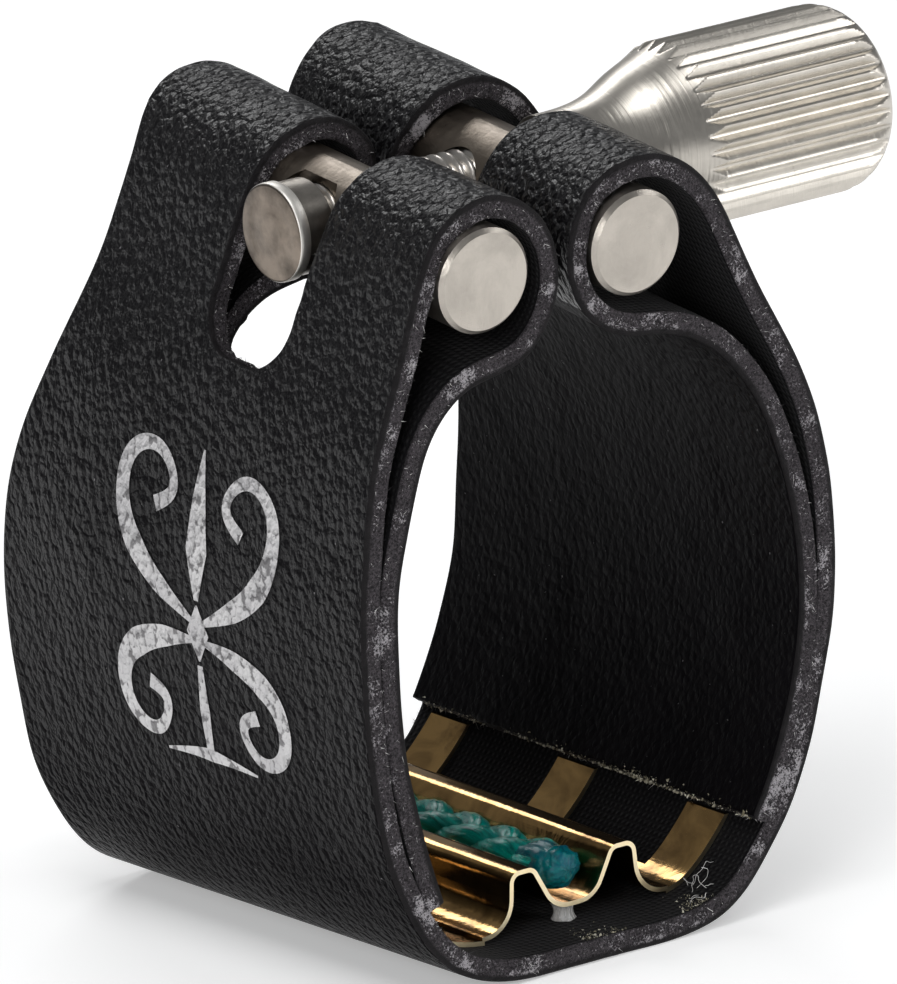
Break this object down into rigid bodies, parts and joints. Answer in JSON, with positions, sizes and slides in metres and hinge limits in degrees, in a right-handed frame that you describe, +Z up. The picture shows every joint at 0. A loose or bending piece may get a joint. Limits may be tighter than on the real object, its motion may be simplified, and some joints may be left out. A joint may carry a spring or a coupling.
{
  "type": "saxophone ligature",
  "caption": "Leather ligature with two bars drawn together by one thumbscrew, and a ridged gilt plate holding a waxed cord.",
  "frame": {"origin": "middle of the opening that the mouthpiece goes through", "axes": "+Y along the mouthpiece towards its shank, +X towards the thumbscrew's knob, +Z up to the bars"},
  "size_m": [0.0381, 0.0266, 0.0394],
  "materials": {
    "leather": "grained synthetic leather, semi-matt black",
    "woven_backing": "black woven backing with a fuzzy cut edge",
    "silver_print": "silver print over the grain",
    "nickel": "satin nickel plate",
    "gold_plate": "polished gold plate on brass sheet",
    "waxed_cord": "waxed three-strand teal cord",
    "clear_glue": "cloudy clear glue"
  },
  "bodies": {
    "base": {"bottom_leather": "leather", "bottom_backing": "woven_backing", "resonance_plate": "gold_plate", "waxed_cord": "waxed_cord", "front_glue_dab": "clear_glue", "rear_glue_dab": "clear_glue"},
    "left_arm": {"left_wall_leather": "leather", "left_wall_backing": "woven_backing", "printed_ornament": "silver_print"},
    "right_arm": {"right_wall_leather": "leather", "right_wall_backing": "woven_backing"},
    "left_bar_body": {"left_bar": "nickel"},
    "right_bar_body": {"right_bar": "nickel"},
    "thumbscrew": {"thumb_knob": "nickel", "screw_shaft": "nickel", "screw_end_disc": "nickel"}
  },
  "joints": [
    {"name": "thumbscrew_turn", "type": "hinge", "parent": "right_bar_body", "child": "thumbscrew", "pos_m": [0, -0.00241, 0.01809], "axis": [1, 0, 0], "range_deg": [-180, 390]},
    {"name": "left_wall_flex", "type": "hinge", "parent": "base", "child": "left_arm", "pos_m": [-0.0112, 0, -0.011], "axis": [0, 0.9947, 0.1028], "range_deg": [-0.72, 0.33]},
    {"name": "right_wall_flex", "type": "hinge", "parent": "base", "child": "right_arm", "pos_m": [0.0096, 0, -0.011], "axis": [0, 0.9947, 0.1028], "range_deg": [-0.28, 0.61]},
    {"name": "left_bar_pivot", "type": "hinge", "parent": "left_arm", "child": "left_bar_body", "pos_m": [-0.0056, -0.00241, 0.01809], "axis": [0, 0.9947, 0.1028], "range_deg": [-0.33, 0.72]},
    {"name": "right_bar_pivot", "type": "hinge", "parent": "right_arm", "child": "right_bar_body", "pos_m": [0.00299, -0.00241, 0.01809], "axis": [0, 0.9947, 0.1028], "range_deg": [-0.61, 0.28]}
  ],
  "couplings": [
    {"joint": "left_wall_flex", "follows": "thumbscrew_turn", "ratio": -0.0017711},
    {"joint": "right_wall_flex", "follows": "thumbscrew_turn", "ratio": 0.0015005},
    {"joint": "left_bar_pivot", "follows": "thumbscrew_turn", "ratio": 0.0017711},
    {"joint": "right_bar_pivot", "follows": "thumbscrew_turn", "ratio": -0.0015005}
  ]
}
